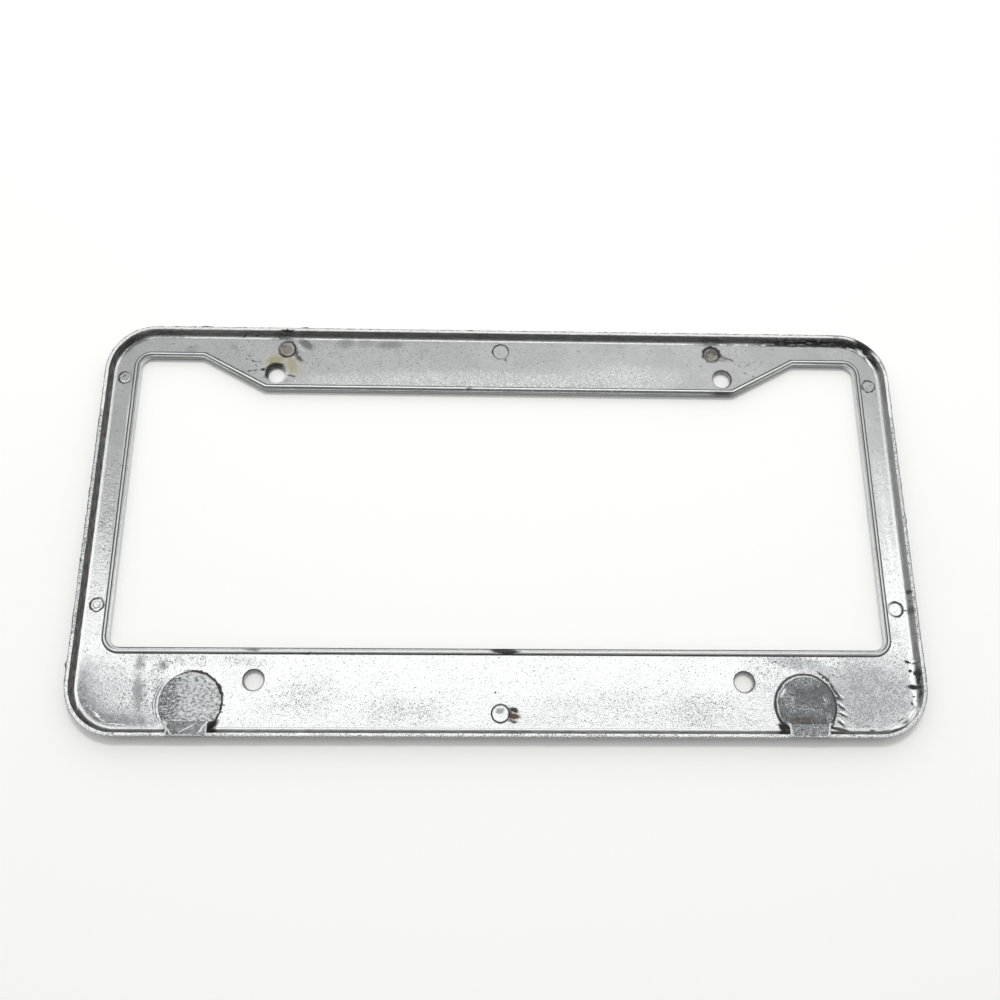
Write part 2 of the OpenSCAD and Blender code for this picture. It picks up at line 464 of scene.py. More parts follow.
def distance_group():
    """How far a point lies outside a rounded rectangle, less than 0 inside it."""
    tree, w, given, out = new_group(
        "rounded frame",
        [("Place", "NodeSocketVector"), ("Centre", "NodeSocketVector"),
         ("Core", "NodeSocketVector"), ("Radius", "NodeSocketFloat")],
        [("Distance", "NodeSocketFloat")],
    )
    off = w.vector("ABSOLUTE", w.vector("SUBTRACT", given["Place"], given["Centre"]))
    off = w.vector("MULTIPLY", w.vector("SUBTRACT", off, given["Core"]), (1, 1, 0))
    past = w.vector("LENGTH", w.vector("MAXIMUM", off, (0, 0, 0)))
    at = w.node("ShaderNodeSeparateXYZ", {0: off}).outputs
    inside = w.math("MINIMUM", w.math("MAXIMUM", at[0], at[1]), 0)
    w.feed(out["Distance"], w.math("SUBTRACT", w.math("ADD", past, inside), given["Radius"]))
    return tree


def patch_group():
    """A ragged oval patch: 1 inside, 0 outside."""
    tree, w, given, out = new_group(
        "ragged patch",
        [("Place", "NodeSocketVector"), ("Wobble", "NodeSocketVector"), ("Centre", "NodeSocketVector"),
         ("Size", "NodeSocketVector"), ("Turn", "NodeSocketFloat"), ("Ragged", "NodeSocketFloat"),
         ("Soft", "NodeSocketFloat")],
        [("Mask", "NodeSocketFloat")],
    )
    moved = w.vector("ADD", given["Place"], w.vector("SCALE", given["Wobble"], given["Ragged"]))
    turned = w.node(
        "ShaderNodeVectorRotate",
        {"Vector": moved, "Center": given["Centre"], "Angle": given["Turn"]},
        rotation_type="Z_AXIS",
    ).outputs[0]
    off = w.vector("DIVIDE", w.vector("SUBTRACT", turned, given["Centre"]), given["Size"])
    reach = w.vector("LENGTH", w.vector("MULTIPLY", off, (1, 1, 0)))
    w.feed(out["Mask"], w.ramp(reach, w.math("ADD", 1, given["Soft"]), w.math("SUBTRACT", 1, given["Soft"])))
    return tree


def ring_group():
    """A ragged ring round a centre that fades towards its bare side, more the longer that is."""
    tree, w, given, out = new_group(
        "ragged ring",
        [("Place", "NodeSocketVector"), ("Wobble", "NodeSocketVector"), ("Centre", "NodeSocketVector"),
         ("Radius", "NodeSocketFloat"), ("Width", "NodeSocketFloat"), ("Ragged", "NodeSocketFloat"),
         ("Bare Side", "NodeSocketVector")],
        [("Mask", "NodeSocketFloat")],
    )
    moved = w.vector("ADD", given["Place"], w.vector("SCALE", given["Wobble"], given["Ragged"]))
    off = w.vector("MULTIPLY", w.vector("SUBTRACT", moved, given["Centre"]), (1, 1, 0))
    away = w.math("ABSOLUTE", w.math("SUBTRACT", w.vector("LENGTH", off), given["Radius"]))
    line = w.ramp(away, given["Width"], w.product(given["Width"], 0.3))
    side = w.vector("DOT_PRODUCT", w.vector("NORMALIZE", off), given["Bare Side"])
    spare = w.math("MAXIMUM", w.math("SUBTRACT", w.vector("LENGTH", given["Bare Side"]), 1), 0)
    kept = w.math("SUBTRACT", 1, w.math("ADD", side, spare), clamp=True)
    w.feed(out["Mask"], w.product(line, kept))
    return tree


def grain_group():
    """Grain of the casting at three scales, and streaks that run along the walls."""
    tree, w, given, out = new_group(
        "cast grain",
        [("Place", "NodeSocketVector"), ("Coarseness", "NodeSocketFloat")],
        [(name, "NodeSocketFloat") for name in ("Fine", "Middle", "Wide", "Streaks")],
    )
    place = w.vector("SCALE", given["Place"], w.math("DIVIDE", 1, given["Coarseness"]))
    w.feed(out["Fine"], w.noise(place, 2.1, 3, 0.6))
    w.feed(out["Middle"], w.noise(place, 0.5, 4, 0.62))
    w.feed(out["Wide"], w.noise(place, 0.07, 2, 0.5))
    w.feed(out["Streaks"], w.noise(w.vector("MULTIPLY", place, (0.3, 0.3, 3)), 1, 3, 0.6))
    return tree


# Worn, stained and soiled places on the rear, and places of painted shade and highlights,
# by the layer that they belong to: X, Y, half length, half width, turn in degrees,
# raggedness, softness and strength. Places and sizes are in mm. Each kind runs from left
# to right along the top bar, the side bars and the bottom bar.
PATCHES = {
    # Plating worn dull
    "worn": [
        (-60, 70, 60, 9, 0, 8, 0.7, 0.2),
        (-147, 4, 6, 22, 0, 5, 0.8, 0.35),
        (147, 0, 6, 40, 0, 5, 0.8, 0.1),
        (-138, -66, 12, 9, -40, 6, 0.7, 0.5),
        (-137, -63, 14, 9, 12, 8, 0.8, 0.42),
        (-124.5, -62, 3.6, 12, -12, 5, 0.7, 0.62),
        (-118, -52.3, 18, 2.2, -3, 4, 0.7, 0.55),
        (-94, -52.6, 9, 1.6, -6, 4, 0.7, 0.5),
        (-70, -66, 14, 6, 8, 10, 0.7, 0.42),
        (-36, -70.5, 15, 5, 4, 9, 0.7, 0.42),
        (22, -70, 10, 5, 0, 8, 0.8, 0.3),
        (44, -68, 10, 5, -10, 8, 0.8, 0.3),
        (72, -70, 14, 6, 4, 9, 0.7, 0.45),
        (96, -58, 8, 8, 0, 7, 0.8, 0.42),
        (108, -52.4, 14, 2.6, -3, 4, 0.7, 0.7),
        (131, -64, 19, 15, 0, 8, 0.55, 0.66),
        (146, -52, 6, 12, 0, 6, 0.8, 0.36),
    ],
    # White specks on the top bar, painted as glints
    "flecked": [
        (-52, 58.4, 24, 2.4, 0, 6, 0.7, 0.6),
        (0, 58.6, 46, 3.4, -1, 8, 0.7, 0.9),
        (46, 60, 22, 5, 4, 8, 0.7, 0.7),
    ],
    # Smooth blue-grey film
    "film": [
        (-148.7, -57.8, 1.1, 1.2, 0, 1, 0.5, 0.4),
        (-142, -62, 9, 7, -50, 6, 0.9, 0.3),
        (-127, -74.6, 5, 2, 0, 3, 0.8, 0.6),
        (113, -54.2, 9, 2.6, -10, 3, 0.7, 0.5),
        (123.6, -66, 1.8, 7.5, 0, 2.5, 0.7, 0.6),
        (127, -61, 2, 9, -14, 3, 0.8, 0.35),
        (132.4, -57.5, 1.3, 5.5, 4, 2, 0.8, 0.3),
        (136, -64, 17, 13, 0, 6, 0.5, 0.55),
        (145, -66, 1.6, 7, -14, 2, 0.7, 0.25),
    ],
    # Thick film along the foot of the rim
    "corner": [
        (-142, -70, 17, 12, -35, 5, 0.6, 0.95),
    ],
    # Bluish smudges
    "smudge": [
        (-123, 71, 3, 1.6, 30, 3, 0.6, 0.35),
        (-106, 72, 2, 1, -40, 2, 0.6, 0.35),
        (-77.8, 74, 3.4, 1.5, -32, 2, 0.5, 0.8),
        (-62, 74.6, 3.2, 2, 10, 2.5, 0.6, 0.5),
        (-54, 74.7, 3.4, 1.6, 0, 2.5, 0.7, 0.35),
        (-44.5, 74.3, 5.5, 1.5, 3, 2, 0.6, 0.6),
        (137, 79.4, 7, 0.5, -4, 2.5, 0.6, 0.6),
        (149, 73.8, 5, 0.6, -45, 2.5, 0.6, 0.75),
        (153.5, 66.5, 4, 0.5, -72, 2.5, 0.6, 0.65),
        (-150.6, -74.4, 5, 0.5, -50, 2.5, 0.6, 0.6),
        (-129.8, -54, 1.8, 2, 0, 4, 0.8, 0.6),
        (-129.3, -64.5, 2, 6, 6, 5, 0.8, 0.6),
        (-121.3, -54.4, 1.3, 1.3, 0, 3, 0.8, 0.7),
        (-0.2, -70.2, 1.6, 0.9, 10, 1.2, 0.4, 0.6),
    ],
    # Dried brown stain
    "brown": [
        (-89.6, 66.8, 4.2, 2.6, 10, 3, 0.6, 0.85),
        (-86, 66.5, 6.5, 3.8, -20, 4, 0.7, 0.6),
        (-83, 64.6, 2.6, 4.4, 22, 3, 0.6, 0.8),
        (-79.5, 60.5, 3.6, 2, -30, 2, 0.6, 0.3),
    ],
    # Rust-brown dirt
    "rust": [
        (-85.4, 71.8, 2.8, 2.7, 0, 1.6, 0.5, 0.72),
        (85, 71.8, 3, 2.8, 0, 1.8, 0.5, 0.72),
        (88.6, 69.4, 2.8, 0.6, -12, 1.6, 0.7, 0.6),
        (89.8, 70.6, 3.6, 0.9, -22, 1.6, 0.7, 0.7),
        (91, 70.4, 3.8, 0.5, -24, 2, 0.6, 0.8),
        (4.9, -72.1, 2.1, 1, -6, 2.2, 0.45, 1),
    ],
    # Dark dirt, and painted shade beside the tabs, along the pads' edges and on the shaded sides of the
    # striations
    "grime_and_shade": [
        (-148.4, 59.4, 1.1, 0.22, 42, 0.9, 0.4, 0.9),
        (-147.2, 58.2, 0.5, 0.35, 10, 0.9, 0.4, 0.6),
        (-123.6, 72.2, 0.6, 0.35, 60, 1, 0.4, 0.7),
        (-121.8, 69.4, 0.35, 0.7, 0, 1, 0.4, 0.6),
        (-104.4, 68.2, 0.5, 0.3, 30, 1, 0.4, 0.5),
        (-102.4, 77, 0.9, 0.3, 30, 0.6, 0.4, 1),
        (-101.8, 61.9, 1.1, 0.2, -5, 1.5, 0.5, 0.7),
        (-101, 67.2, 0.6, 0.28, -20, 1.5, 0.5, 0.9),
        (-100.1, 68.6, 0.6, 0.2, 10, 1.5, 0.5, 0.7),
        (-99.6, 62, 1.4, 0.32, 8, 2, 0.5, 1),
        (-97.9, 66.4, 1.4, 0.34, -22, 2, 0.5, 1),
        (-97.4, 77.2, 0.8, 0.3, 10, 0.6, 0.4, 1),
        (-97.2, 62.4, 0.9, 0.38, 15, 1.5, 0.5, 1),
        (-97.1, 64.5, 0.7, 0.28, -35, 1.5, 0.5, 0.9),
        (-95.6, 66, 0.9, 0.22, -15, 2, 0.5, 0.85),
        (-94.2, 62.7, 1.3, 0.5, 8, 2, 0.5, 1),
        (-93.4, 59.6, 1, 0.6, 60, 1.5, 0.8, 0.6),
        (-91.9, 64.3, 1.7, 0.55, 42, 1.2, 0.5, 0.9),
        (-88.6, 65.3, 2.6, 0.5, -4, 1.2, 0.5, 0.9),
        (-86.8, 73, 1.2, 0.5, 10, 1.5, 0.6, 0.6),
        (-84.6, 58.2, 0.9, 0.35, 10, 1.5, 0.6, 0.6),
        (-82.9, 60.1, 1.7, 0.5, -5, 1.8, 0.5, 0.9),
        (-82, 71.2, 0.6, 1.5, 0, 1.5, 0.6, 0.8),
        (-81.4, 70, 0.9, 1.7, -15, 1.6, 0.5, 0.9),
        (-80.3, 67.9, 2.3, 0.9, -42, 2, 0.5, 0.9),
        (-25.6, 73.3, 0.35, 0.35, 0, 0.5, 0.6, 0.6),
        (2, 68.3, 0.9, 0.5, -60, 1, 0.6, 0.85),
        (31.5, 72.4, 0.9, 0.25, -30, 1, 0.6, 0.7),
        (80.6, 66.6, 0.7, 0.25, 10, 1, 0.6, 0.55),
        (83.2, 71, 0.7, 1.4, 0, 1.6, 0.7, 0.6),
        (84.6, 73.2, 2, 0.6, 30, 1.6, 0.6, 0.7),
        (86.8, 72.8, 1.6, 1.3, -30, 1.6, 0.7, 0.7),
        (93, 69.6, 1.6, 0.35, -35, 1, 0.6, 0.6),
        (94.6, 67.6, 0.4, 0.2, 0, 1, 0.6, 0.6),
        (96.2, 66.9, 0.8, 0.3, -30, 1, 0.6, 0.7),
        (98.4, 63.6, 0.7, 0.25, -45, 1, 0.6, 0.85),
        (99.6, 67.2, 1.2, 0.25, 30, 1, 0.6, 0.7),
        (101.6, 62.4, 0.5, 0.3, 0, 1, 0.6, 0.85),
        (102.6, 68.6, 0.5, 0.2, 0, 1, 0.6, 0.5),
        (147.2, 57.9, 0.7, 0.28, -30, 0.8, 0.4, 0.6),
        (148.6, 59, 0.6, 0.35, 20, 0.8, 0.4, 0.7),
        (151.2, -32.9, 1.2, 0.25, 5, 0.3, 0.6, 0.9),
        (153, -26.1, 0.7, 0.9, 0, 0.8, 0.5, 0.9),
        (153, -29.5, 0.3, 0.4, 0, 0.4, 0.5, 0.8),
        (153, -33, 0.9, 1.6, 0, 0.8, 0.7, 0.75),
        # Painted shade beside the left tab and along the left pad's right edge
        (-102.6, -75.9, 3, 1.3, 42, 1.8, 0.3, 1),
        (-100.2, -64, 0.9, 0.3, -20, 0.8, 0.4, 0.9),
        (-99.6, -66.2, 0.8, 0.3, -10, 0.8, 0.4, 0.8),
        (-99.4, -71, 0.7, 0.3, 10, 0.8, 0.4, 0.8),
        (-99.2, -68.6, 1, 0.3, 0, 0.8, 0.4, 0.9),
        (-1.9, -63.7, 0.36, 0.34, 0, 0.3, 0.4, 1),
        (3.7, -71.6, 0.5, 2.2, 0, 1, 0.5, 0.8),
        (4.4, -73.9, 1.6, 0.55, -6, 2, 0.5, 0.85),
        (4.7, -69.9, 1.8, 0.8, -10, 2.2, 0.4, 1),
        # Painted shade beside the right tab and along the right pad's edge, and the shaded sides of the
        # striations
        (101.6, -76.4, 2.4, 0.9, -58, 0.8, 0.3, 1),
        (118.4, -57.8, 3.2, 0.5, -40, 2.4, 0.4, 0.9),
        (121, -61.1, 1.2, 0.5, -60, 1.2, 0.4, 0.9),
        (122, -76.4, 3.8, 0.7, -12, 0.8, 0.35, 0.95),
        (122.3, -63.5, 2, 0.5, -52, 0.9, 0.4, 0.95),
        (122.9, -65.4, 1.5, 0.55, -16, 0.9, 0.4, 0.9),
        (123, -74.4, 1.6, 0.42, -41, 0.9, 0.4, 0.95),
        (123.5, -68.5, 1.9, 0.4, -41, 0.9, 0.4, 0.95),
        (123.8, -71.4, 2, 0.4, -25, 0.9, 0.4, 0.9),
    ],
    # Tar, smeared where it lies along the rim or the bead
    "tar": [
        (-146, 72.5, 8, 2.6, 40, 3, 0.6, 0.8),
        (-133, 77.4, 9, 1.5, 0, 3, 0.7, 0.6),
        (-87, 76.6, 4, 2, 0, 2, 0.7, 0.8),
        (-12.6, 55.2, 1.2, 0.6, 20, 0.6, 0.6, 0.8),
        (87, 76.6, 8, 2, 0, 3, 0.7, 0.75),
        (88.5, 54.6, 4.5, 0.7, 0, 1, 0.6, 0.9),
        (128, 76, 27, 3.2, -2, 3, 0.5, 1),
        (146.4, 75.2, 5.2, 1.4, -37, 1.4, 0.35, 1),
        (150.5, 70.5, 7, 3, -52, 3, 0.5, 1),
        (-90, -48.8, 2.6, 0.5, 0, 1, 0.6, 0.8),
        (-70, -50.2, 1.4, 0.35, 35, 0.6, 0.6, 0.9),
        (1.6, -48.9, 5.6, 1, -3, 1, 0.3, 1),
        (143.6, -76.3, 4.6, 0.6, 22, 1, 0.4, 1),
        (150, -71.6, 5, 0.8, 54, 1, 0.4, 1),
        (152.8, -66.5, 0.8, 4.4, 0, 2, 0.4, 1),
        (153, -57.4, 0.8, 4, 0, 2, 0.4, 1),
    ],
    # Rubbed and scratched metal, and painted highlights on the edges of the tabs and pads and on the lit
    # sides of the striations
    "bright": [
        (-79.9, 72.3, 2, 0.3, -50, 1, 0.6, 0.6),
        (146.4, 73, 2.4, 0.45, -42, 1.6, 0.5, 1),
        (149.3, 68.9, 2.6, 0.4, -62, 1.2, 0.5, 1),
        (-150.8, -66.4, 3.6, 0.28, -74, 0.8, 0.5, 0.9),
        (-142.6, -72.6, 3.4, 0.2, -40, 2.4, 0.7, 0.8),
        (-136, -75.3, 4, 0.18, -4, 2, 0.7, 0.7),
        # Painted highlights on the edges of the tabs and pads, and on the lit sides of the striations
        (-117.2, -77, 2.9, 0.32, -54, 1.2, 0.4, 1),
        (-109.9, -76.7, 3.7, 0.22, 29, 1, 0.4, 1),
        (-105.2, -59.6, 1.6, 0.35, -38, 1.4, 0.4, 1),
        (-104.9, -76.7, 2.8, 0.35, 53, 1.2, 0.4, 1),
        (102.7, -63.4, 2, 0.5, 55, 1.2, 0.4, 1),
        (103.8, -77, 2.8, 0.3, -80, 1, 0.4, 1),
        (117.4, -77, 2.8, 0.3, 80, 1, 0.4, 1),
        (117.8, -66.3, 0.45, 0.4, 0, 1.2, 0.3, 1),
        (123.4, -73.4, 1.5, 0.22, -41, 0.8, 0.5, 1),
        (123.9, -64.3, 1.2, 0.2, -40, 0.8, 0.5, 0.8),
        (124, -67.6, 1.6, 0.22, -41, 0.8, 0.5, 1),
        (124.2, -70.5, 1.7, 0.2, -25, 0.8, 0.5, 0.9),
        (143.6, -75.4, 3.2, 0.4, 20, 1, 0.5, 1),
        (148.9, -71.4, 3.4, 0.6, 54, 1.2, 0.4, 1),
        (150.9, -59.6, 0.6, 10.6, 0, 1.6, 0.4, 1),
    ],
    # Black spots and chips, over everything else
    "chip": [
        (-85.2, 78.6, 3, 0.5, 1, 2.4, 0.4, 1),
        (-77.6, 83, 3, 0.3, -4, 1.4, 0.4, 0.9),
        (146.6, 75.2, 4.8, 1.1, -38, 1.8, 0.4, 1),
        (134, -76.8, 1.1, 0.3, 0, 0.8, 0.5, 0.9),
        (145.2, -72.9, 1.6, 0.2, 30, 1, 0.5, 0.9),
        (149.7, -67.2, 0.35, 0.7, 0, 0.8, 0.4, 1),
        (150, -52.1, 1.2, 0.45, -20, 1.2, 0.4, 1),
        (150.5, -55.4, 0.6, 0.5, 0, 1, 0.4, 1),
        (150.7, -64.6, 0.5, 0.3, 0, 0.8, 0.5, 0.9),
        (151.1, -61.2, 2.4, 0.85, -4, 1.6, 0.35, 1),
        (152.5, -52.5, 1.2, 0.4, 10, 1.2, 0.5, 0.8),
        (152.6, -56.3, 0.9, 1, 30, 1.2, 0.5, 1),
    ],
    # Bright grain on the sheared faces
    "glint": [
        (104.8, -66.4, 2.4, 4, 15, 3, 0.7, 1),
        (110.6, -59.6, 5, 1.6, 0, 3, 0.7, 1),
        (112, -69.6, 4, 1.4, -10, 2, 0.7, 0.9),
        (118, -66.4, 1.2, 1.6, 0, 1.5, 0.7, 1),
        (119, -72.4, 1.2, 1.4, 0, 1.5, 0.7, 1),
    ],
}

# Rings round marks, holes and pads, by the same layers: X, Y, radius, half width,
# raggedness, bare side in degrees, how bare it is there, and strength. Places and sizes
# are in mm. A ring that is more than 1 bare keeps only a part across from its bare side.
# The dark rings in the holes and round the pads' edges are painted shade, and the bright
# rings are painted highlights.
RINGS = {
    "film": [
        (-110.6, -67.95, 12.4, 1.6, 1.6, 0, 5, 0.3),
        (110.6, -67.95, 10.85, 0.8, 0.4, 145, 0.95, 1),
    ],
    "smudge": [
        (-110.6, -67.95, 12.3, 0.25, 1.4, 0, 9, 1),
        (-110.6, -67.95, 13.2, 0.22, 1.6, 0, 9, 0.9),
    ],
    "grime_and_shade": [
        (-147.9, 58.6, 2.5, 0.5, 1, 20, 0.5, 1),
        (-85.15, 71.8, 3.3, 0.75, 1.6, 150, 0.3, 1),
        (0, 71.8, 3.2, 0.45, 0.9, -75, 0.45, 1),
        (85.15, 71.8, 3.2, 1, 1.9, -100, 0.3, 1),
        (88.9, 61.025, 3.8, 0.45, 0.4, -150, 0.4, 0.95),
        (147.9, 58.6, 2.5, 0.42, 1.9, 0, 0.1, 1),
        (-148.1, -32.3, 1.3, 0.25, 1, 90, 0.6, 0.7),
        (-147.9, -32.4, 2.5, 0.5, 1.4, 60, 0.3, 1),
        (147.9, -32.4, 2.75, 0.6, 0.7, 190, 0.8, 1),
        (-110.6, -67.95, 11.15, 0.4, 1.2, -170, 0.4, 1),
        (-110.6, -67.95, 11.5, 0.6, 1.6, 235, 5, 1),
        (-88.9, -59.625, 3.8, 0.38, 0.3, -60, 0.4, 0.9),
        (0, -71.2, 3.2, 0.5, 0.4, 90, 0.1, 1),
        (88.9, -59.625, 3.8, 0.38, 0.3, -140, 0.4, 0.9),
        (110.6, -67.95, 11.15, 0.62, 0.6, 150, 0.2, 1),
    ],
    # Painted highlights: the lit sides in the upper left mark and the upper left hole, and a crescent inside
    # the right pad
    "bright": [
        (-147.9, 58.6, 1.7, 0.4, 0.8, 100, 2.4, 1),
        (-88.9, 61.025, 3.85, 0.7, 0.2, 130, 3, 0.5),
        (110.6, -67.95, 10.4, 0.35, 1.4, -45, 2.4, 0.9),
    ],
    # Painted shade: the dark crescent in the upper left hole
    "chip": [
        (-89, 61.3, 3.75, 1.1, 0.9, -50, 1.4, 1),
    ],
}


class Surface:
    """Where a point of the casting lies, as places, distances and masks in mm."""

    def __init__(self, w, groups, sizes, coarseness=1.0, region=(-90, 90)):
        self.w, self.groups, self.region = w, groups, region
        half_w, half_h, corner = (v / MM for v in (sizes.half_w, sizes.half_h, sizes.corner_r))
        self.rim_top, self.panel = sizes.rim_z / MM, sizes.panel_z / MM
        self.place = w.vector("SCALE", w.node("ShaderNodeTexCoord").outputs["Object"], 1 / MM)
        self.wobble = w.vector("SUBTRACT", w.noise(self.place, 0.7, 3, 0.6, "Color"), (0.5, 0.5, 0.5))
        self.x, self.y, self.z = w.node("ShaderNodeSeparateXYZ", {0: self.place}).outputs
        grain = w.group(groups["grain"], Place=self.place, Coarseness=coarseness)
        self.fine, self.middle, self.wide, self.streaks = grain[:4]
        outline = w.group(
            groups["distance"], Place=self.place, Centre=(0, 0, 0),
            Core=(half_w - corner, half_h - corner, 0), Radius=corner,
        )
        # How far the point lies inside the outline and outside the window
        self.rim = w.math("MULTIPLY", outline["Distance"], -1)
        self.window = self.window_distance()

    def window_distance(self):
        """How far a point lies outside the window, round its corners and along its slopes."""
        w = self.w
        side, low, top, r = WINDOW_SIDE, WINDOW_LOW, WINDOW_TOP, WINDOW_R
        box = w.group(
            self.groups["distance"], Place=self.place, Centre=(0, (top + low) / 2, 0),
            Core=(side - r, (top - low) / 2 - r, 0), Radius=r,
        )["Distance"]
        lean = math.atan2(top - WINDOW_MIDDLE, SLOPE_END - SLOPE_START)
        out = w.product(w.math("SUBTRACT", w.math("ABSOLUTE", self.x), SLOPE_START), -math.sin(lean))
        up = w.math("SUBTRACT", self.y, WINDOW_MIDDLE)
        slope = w.math("ADD", w.product(up, math.cos(lean)), out)
        return w.math("MAXIMUM", box, w.math("MINIMUM", up, slope))

    def band(self, value, low, high, soft, wander=0.0):
        """1 where the value lies between low and high, with edges that may wander."""
        w = self.w
        if wander:
            value = w.math("ADD", value, w.product(w.math("SUBTRACT", self.middle, 0.5), wander))
        away = w.math("ABSOLUTE", w.math("SUBTRACT", value, (low + high) / 2))
        half = (high - low) / 2
        return w.ramp(away, half + soft, half - soft)

    def reached(self, y, reach):
        """Whether a mark at Y with this reach shows in the region."""
        return self.region[0] - reach < y < self.region[1] + reach

    def marks(self, kind):
        """All patches and rings of one kind that the region shows, as one mask."""
        w = self.w
        shared = {"Place": self.place, "Wobble": self.wobble}
        masks = []
        for x, y, long, wide, turn, ragged, soft, strength in PATCHES.get(kind, ()):
            if self.reached(y, max(long, wide) * (1 + soft) + ragged / 2):
                patch = w.group(
                    self.groups["patch"], **shared, Centre=(x, y, 0), Size=(long, wide, 1),
                    Turn=-math.radians(turn), Ragged=ragged, Soft=soft,
                )
                masks.append(w.product(patch["Mask"], strength))
        for x, y, radius, width, ragged, turn, bare, strength in RINGS.get(kind, ()):
            if self.reached(y, radius + width + ragged / 2):
                side = bare * math.cos(math.radians(turn)), bare * math.sin(math.radians(turn)), 0
                ring = w.group(
                    self.groups["ring"], **shared, Centre=(x, y, 0), Radius=radius, Width=width,
                    Ragged=ragged, Bare_Side=side,
                )
                masks.append(w.product(ring["Mask"], strength))
        return w.most(*masks) if masks else 0


class Finish:
    """Colour, roughness and share of metal of a surface, built up in layers."""

    def __init__(self, w, colour, rough):
        self.w, self.colour, self.rough, self.metal = w, colour, rough, 1.0

    def lay(self, mask, colour=None, rough=None, metal=None):
        """Lays a colour, a roughness or a share of metal where the mask is 1."""
        if not isinstance(mask, bpy.types.NodeSocket):
            return
        if colour is not None:
            self.colour = self.w.mix(mask, self.colour, colour)
        if rough is not None:
            self.rough = self.w.blend(mask, self.rough, rough)
        if metal is not None:
            self.metal = self.w.blend(mask, self.metal, metal)

    def feed(self, shader, relief, strength, depth):
        """Joins the finish to a shader, with a relief of a strength and of a depth in mm."""
        w = self.w
        w.feed(shader.inputs["Base Color"], self.colour)
        w.feed(shader.inputs["Roughness"], self.rough)
        w.feed(shader.inputs["Metallic"], self.metal)
        bump = w.node("ShaderNodeBump", {"Strength": strength, "Distance": depth * MM, "Height": relief})
        w.feed(shader.inputs["Normal"], bump.outputs["Normal"])


def new_material(name):
    """A new material with its wiring and its shader."""
    material = bpy.data.materials.new(name)
    material.use_nodes = True
    return material, Wiring(material.node_tree), material.node_tree.nodes["Principled BSDF"]


def toned(colour, by):
    """A colour made darker or paler by a factor, at most white."""
    return [min(1, by * c) for c in colour]


def worn_coat(s, colours, pitted):
    """Thin plating, mottled and pitted, as a finish for the other layers to lie on."""
    w = s.w
    coat = Finish(w, w.mix(w.ramp(s.wide, 0.4, 0.6), toned(colours.plate, 0.94), colours.plate), 0.15)
    worn = s.marks("worn")
    coat.lay(w.product(worn, 0.22), colours.dull, rough=0.3)
    mottle = w.math("ADD", w.product(s.middle, 0.45), w.product(s.fine, 0.55))
    clouds = w.ramp(w.math("ADD", mottle, w.product(worn, 0.24)), 0.54, 0.84)
    coat.lay(w.product(clouds, 0.75), colours.dull, rough=0.36)
    pits = w.ramp(w.math("ADD", s.fine, w.product(worn, 0.1)), 0.61, 0.67)
    coat.lay(w.product(pits, pitted), toned(colours.dull, 0.35), rough=0.5)
    return coat


# How pale and how dark the rim's top is in each region, as shares of the plating's
# colour, and a shift of the noise that chips it: the lower, the fewer chips. The pale
# share is a painted highlight, the dark one the colour of the chips
RIM_TOPS = {
    "bottom_bar": (1.35, 0.4, -0.03),
    "side_bars": (1.15, 0.22, -0.012),
    "top_bar": (1.35, 0.6, -0.06),
}


def rim_layers(coat, s, colours, region):
    """The rim's chipped top with a painted highlight, its burred outer edge with a painted dark reflection,
    its inner wall painted dark as shade, and the fillet at its foot with a painted highlight.
    """
    w = s.w
    pale, dark, spread = RIM_TOPS[region]
    # The rim's top is painted pale as a highlight, with dark chips
    top = s.band(s.z, s.rim_top - 0.15, s.rim_top + 0.8, 0.05)
    chipped = w.math("ADD", w.product(s.fine, 0.7), w.product(s.middle, 0.3))
    chipped = w.ramp(w.math("ADD", chipped, spread), 0.47, 0.56)
    coat.lay(top, w.mix(chipped, toned(colours.plate, pale), toned(colours.plate, dark)), rough=0.42)

    # Dark line along the outer edge: partly the trimmed edge, partly a painted dark reflection
    burr_and_shade = w.product(s.band(s.rim, -1, 0.36, 0.12, 1.2), s.band(s.z, s.rim_top - 0.8, s.rim_top + 0.8, 0.1))
    burr_and_shade = w.product(burr_and_shade, w.ramp(s.fine, 0.36, 0.52, 0.4, 1), w.ramp(s.y, -76, -66, 0.4, 1))
    coat.lay(burr_and_shade, toned(colours.dull, 0.3), rough=0.45)

    wall = w.product(s.band(s.z, s.panel + 0.3, s.rim_top - 0.2, 0.12), s.band(s.rim, 1.25, 3.45, 0.1))
    # The wall is painted dark as shade along the top, on the left and along the bottom, there most near its
    # top
    wall_shade = w.math("ADD", w.ramp(s.y, 55, 74, 0.6, 0.74), w.ramp(s.x, -140, -150, 0, 0.36), clamp=True)
    bottom = w.product(w.ramp(s.y, -72, -75), w.ramp(s.z, s.panel + 0.4, s.panel + 1.9, 0.1, 0.7))
    wall_shade = w.math("ADD", wall_shade, bottom, clamp=True)
    streaky = w.ramp(s.streaks, 0.35, 0.62, 0.75, 1)
    coat.lay(w.product(wall, wall_shade, streaky), toned(colours.grime_and_shade, 1.6), rough=0.4)

    fillet = w.product(s.band(s.rim, 2.9, 3.9, 0.12, 0.5), s.band(s.z, s.panel - 0.1, s.panel + 0.5, 0.1))
    # The fillet is painted a little paler as a highlight; the dark specks on it are dirt
    coat.lay(fillet, toned(colours.plate, 1.05), rough=0.25)
    coat.lay(w.product(fillet, w.ramp(s.fine, 0.66, 0.7)), colours.grime_and_shade, rough=0.5)


# Share of painted shade on the bead's inner flank, on the ledge and on the window's edge,
# along the window's sides and along the level edge in each region
SIDE_BEAD = (1, 0.35, 0)
BEADS = {"bottom_bar": (0.2, 0.16, 0.9), "side_bars": SIDE_BEAD, "top_bar": (0.65, 0.2, 0.6)}


